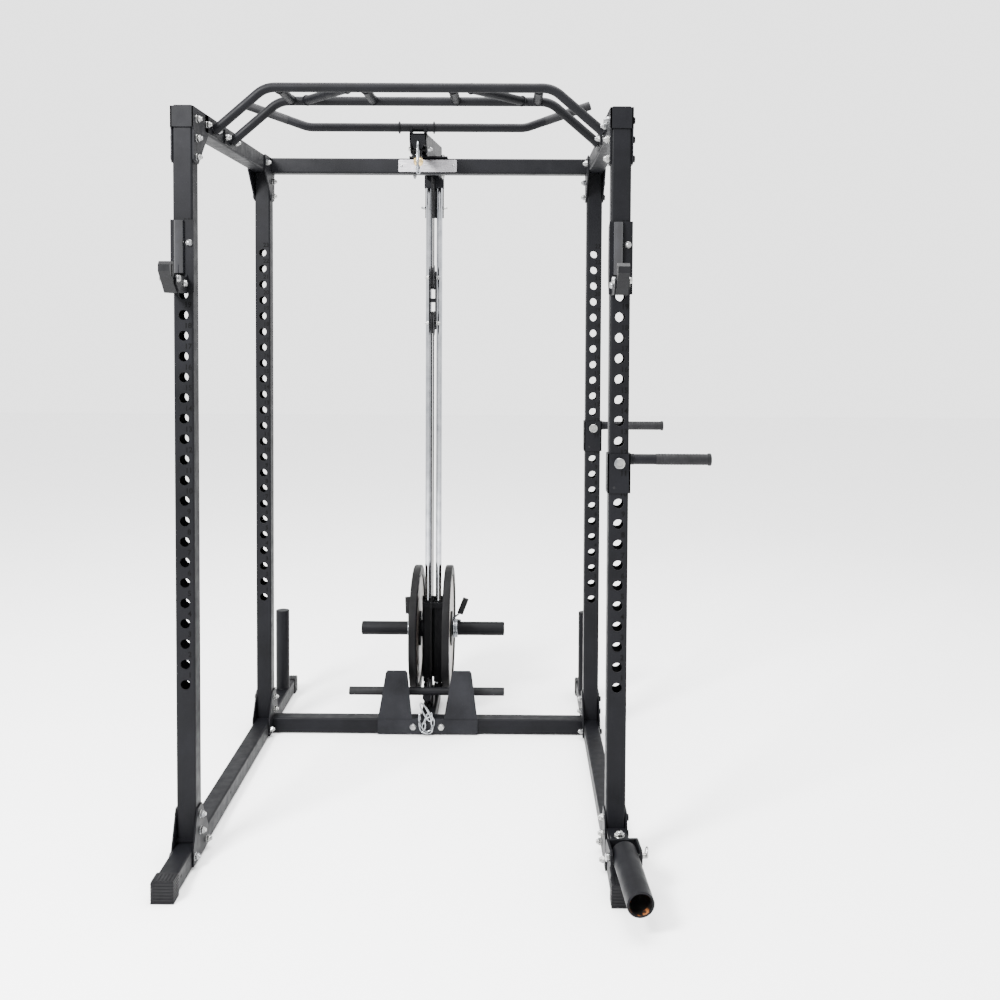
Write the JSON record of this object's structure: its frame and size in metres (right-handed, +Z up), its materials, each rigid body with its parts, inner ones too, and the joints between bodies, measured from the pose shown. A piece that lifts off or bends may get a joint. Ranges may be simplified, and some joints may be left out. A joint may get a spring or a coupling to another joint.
{
  "type": "power cage",
  "caption": "Free-standing power cage of square tube with numbered holes, multi-grip pull-up bar, J-hooks, dip handles, landmine tube and a plate-loaded lat and low-row tower.",
  "frame": {"origin": "centre of the bounding box's footprint, on the floor", "axes": "+X to the side that carries the dip handles and landmine, +Y from the open front to the lat tower, +Z up"},
  "size_m": [1.3656, 1.6562, 2.0421],
  "materials": {
    "powder_coat": "satin black powder coat",
    "textured_coat": "rough textured black coat",
    "foot_plastic": "ribbed black plastic",
    "hook_pad": "black moulded liner",
    "pulley_nylon": "black nylon",
    "chrome_rod": "polished chrome",
    "link_steel": "bright zinc",
    "zinc_hardware": "zinc plated",
    "collar_steel": "bright spring steel",
    "silver_plate": "brushed silver",
    "cast_disc": "black painted iron",
    "coated_cable": "black nylon sheath"
  },
  "bodies": {
    "frame": {"upright_front_left": "powder_coat", "upright_rear_left": "powder_coat", "base_beam_left": "powder_coat", "top_beam_left": "powder_coat", "foot_cap_front_left": "foot_plastic", "foot_cap_rear_left": "foot_plastic", "top_bracket_front_left": "powder_coat", "top_bracket_rear_left": "powder_coat", "base_bracket_front_left": "powder_coat", "base_bracket_rear_left": "powder_coat", "storage_peg_left": "powder_coat", "guide_rod_left": "chrome_rod", "upright_front_right": "powder_coat", "upright_rear_right": "powder_coat", "base_beam_right": "powder_coat", "top_beam_right": "powder_coat", "foot_cap_front_right": "foot_plastic", "foot_cap_rear_right": "foot_plastic", "top_bracket_front_right": "powder_coat", "top_bracket_rear_right": "powder_coat", "base_bracket_front_right": "powder_coat", "base_bracket_rear_right": "powder_coat", "storage_peg_right": "powder_coat", "guide_rod_right": "chrome_rod", "base_rear_crossmember": "powder_coat", "top_rear_crossmember": "powder_coat", "pull_up_bar": "powder_coat", "nameplate": "silver_plate", "landmine_bracket": "powder_coat", "landmine_swivel_bolt": "zinc_hardware", "lat_boom": "powder_coat", "tower_foot": "powder_coat", "foot_plates": "textured_coat", "lat_cable_top": "coated_cable", "lat_cable_loop": "coated_cable", "row_cable": "coated_cable", "row_chain": "link_steel"},
    "j_hook_left": {"j_hook_left": "powder_coat", "j_hook_pad_left": "hook_pad"},
    "j_hook_right": {"j_hook_right": "powder_coat", "j_hook_pad_right": "hook_pad"},
    "dip_handle_front": {"dip_handle_front": "powder_coat"},
    "dip_handle_rear": {"dip_handle_rear": "powder_coat"},
    "landmine_yoke": {"landmine_yoke": "powder_coat", "landmine_tilt_pin": "zinc_hardware"},
    "landmine_tube": {"landmine_tube": "powder_coat"},
    "carriage": {"carriage": "powder_coat"},
    "weight_disc_left": {"weight_disc_left": "cast_disc"},
    "weight_disc_right": {"weight_disc_right": "cast_disc"},
    "spring_collar_left": {"spring_collar_left": "collar_steel"},
    "spring_collar_right": {"spring_collar_right": "collar_steel"},
    "floating_block": {"floating_block": "powder_coat"},
    "upper_floating_pulley": {"upper_floating_pulley": "pulley_nylon"},
    "lower_floating_pulley": {"lower_floating_pulley": "pulley_nylon"},
    "front_pulley": {"front_pulley": "pulley_nylon"},
    "rear_pulley": {"rear_pulley": "pulley_nylon"},
    "low_pulley": {"low_pulley": "pulley_nylon"},
    "lat_cable_end": {"lat_cable_end": "link_steel"},
    "lat_bar": {"lat_bar": "powder_coat"},
    "low_row_bar": {"low_row_bar": "powder_coat"}
  },
  "joints": [
    {"name": "carriage_lift", "type": "slide", "parent": "frame", "child": "carriage", "axis": [0, 0, 1], "range_m": [0, 0.6]},
    {"name": "lat_pull", "type": "slide", "parent": "frame", "child": "lat_cable_end", "axis": [0, 0, -1], "range_m": [0, 0.6]},
    {"name": "floating_block_lift", "type": "slide", "parent": "frame", "child": "floating_block", "axis": [0, 0, 1], "range_m": [0, 0.3], "deforming": ["lat_cable_loop", "row_cable"]},
    {"name": "front_pulley_turn", "type": "hinge", "parent": "frame", "child": "front_pulley", "pos_m": [-0.1035, -0.00392, 1.905], "axis": [1, 0, 0], "range_deg": [0, 1150]},
    {"name": "rear_pulley_turn", "type": "hinge", "parent": "frame", "child": "rear_pulley", "pos_m": [-0.1035, 0.55108, 1.945], "axis": [1, 0, 0], "range_deg": [0, 1080]},
    {"name": "upper_floating_pulley_turn", "type": "hinge", "parent": "floating_block", "child": "upper_floating_pulley", "pos_m": [-0.1035, 0.54308, 1.545], "axis": [1, 0, 0], "range_deg": [0, 432]},
    {"name": "lower_floating_pulley_turn", "type": "hinge", "parent": "floating_block", "child": "lower_floating_pulley", "pos_m": [-0.1035, 0.54308, 1.385], "axis": [1, 0, 0], "range_deg": [0, 432]},
    {"name": "low_pulley_turn", "type": "hinge", "parent": "frame", "child": "low_pulley", "pos_m": [-0.1035, 0.46308, 0.106], "axis": [1, 0, 0], "continuous": true},
    {"name": "weight_disc_left_slide", "type": "slide", "parent": "carriage", "child": "weight_disc_left", "axis": [-1, 0, 0], "range_m": [0, 0.15]},
    {"name": "weight_disc_right_slide", "type": "slide", "parent": "carriage", "child": "weight_disc_right", "axis": [1, 0, 0], "range_m": [0, 0.15]},
    {"name": "spring_collar_left_slide", "type": "slide", "parent": "carriage", "child": "spring_collar_left", "axis": [-1, 0, 0], "range_m": [0, 0.15]},
    {"name": "spring_collar_right_slide", "type": "slide", "parent": "carriage", "child": "spring_collar_right", "axis": [1, 0, 0], "range_m": [0, 0.15]},
    {"name": "landmine_swivel", "type": "hinge", "parent": "frame", "child": "landmine_yoke", "pos_m": [0.4495, -0.56592, 0.1], "axis": [0, 0, 1], "range_deg": [-75, 70]},
    {"name": "landmine_tilt", "type": "hinge", "parent": "landmine_yoke", "child": "landmine_tube", "pos_m": [0.45595, -0.64164, 0.1], "axis": [-0.9964, -0.0849, 0], "range_deg": [0, 85]},
    {"name": "j_hook_left_pull_off", "type": "slide", "parent": "frame", "child": "j_hook_left", "axis": [0, -1, 0], "range_m": [0, 0.09]},
    {"name": "j_hook_right_pull_off", "type": "slide", "parent": "frame", "child": "j_hook_right", "axis": [0, -1, 0], "range_m": [0, 0.09]},
    {"name": "dip_handle_front_pull_off", "type": "slide", "parent": "frame", "child": "dip_handle_front", "axis": [0, -1, 0], "range_m": [0, 0.1]},
    {"name": "dip_handle_rear_pull_off", "type": "slide", "parent": "frame", "child": "dip_handle_rear", "axis": [0, -1, 0], "range_m": [0, 0.1]},
    {"name": "lat_bar_lift_off", "type": "slide", "parent": "frame", "child": "lat_bar", "axis": [0, 0, 1], "range_m": [0, 0.12]},
    {"name": "low_row_bar_lift_off", "type": "slide", "parent": "frame", "child": "low_row_bar", "axis": [0, 0, 1], "range_m": [0, 0.03]}
  ],
  "couplings": [
    {"joint": "lat_pull", "follows": "carriage_lift", "ratio": 1},
    {"joint": "floating_block_lift", "follows": "carriage_lift", "ratio": 0.5},
    {"joint": "front_pulley_turn", "follows": "carriage_lift", "rad_per_m": 33.333},
    {"joint": "rear_pulley_turn", "follows": "carriage_lift", "rad_per_m": 31.25},
    {"joint": "upper_floating_pulley_turn", "follows": "carriage_lift", "rad_per_m": 12.5},
    {"joint": "lower_floating_pulley_turn", "follows": "carriage_lift", "rad_per_m": 12.5},
    {"joint": "spring_collar_left_slide", "follows": "weight_disc_left_slide", "ratio": 1},
    {"joint": "spring_collar_right_slide", "follows": "weight_disc_right_slide", "ratio": 1}
  ]
}
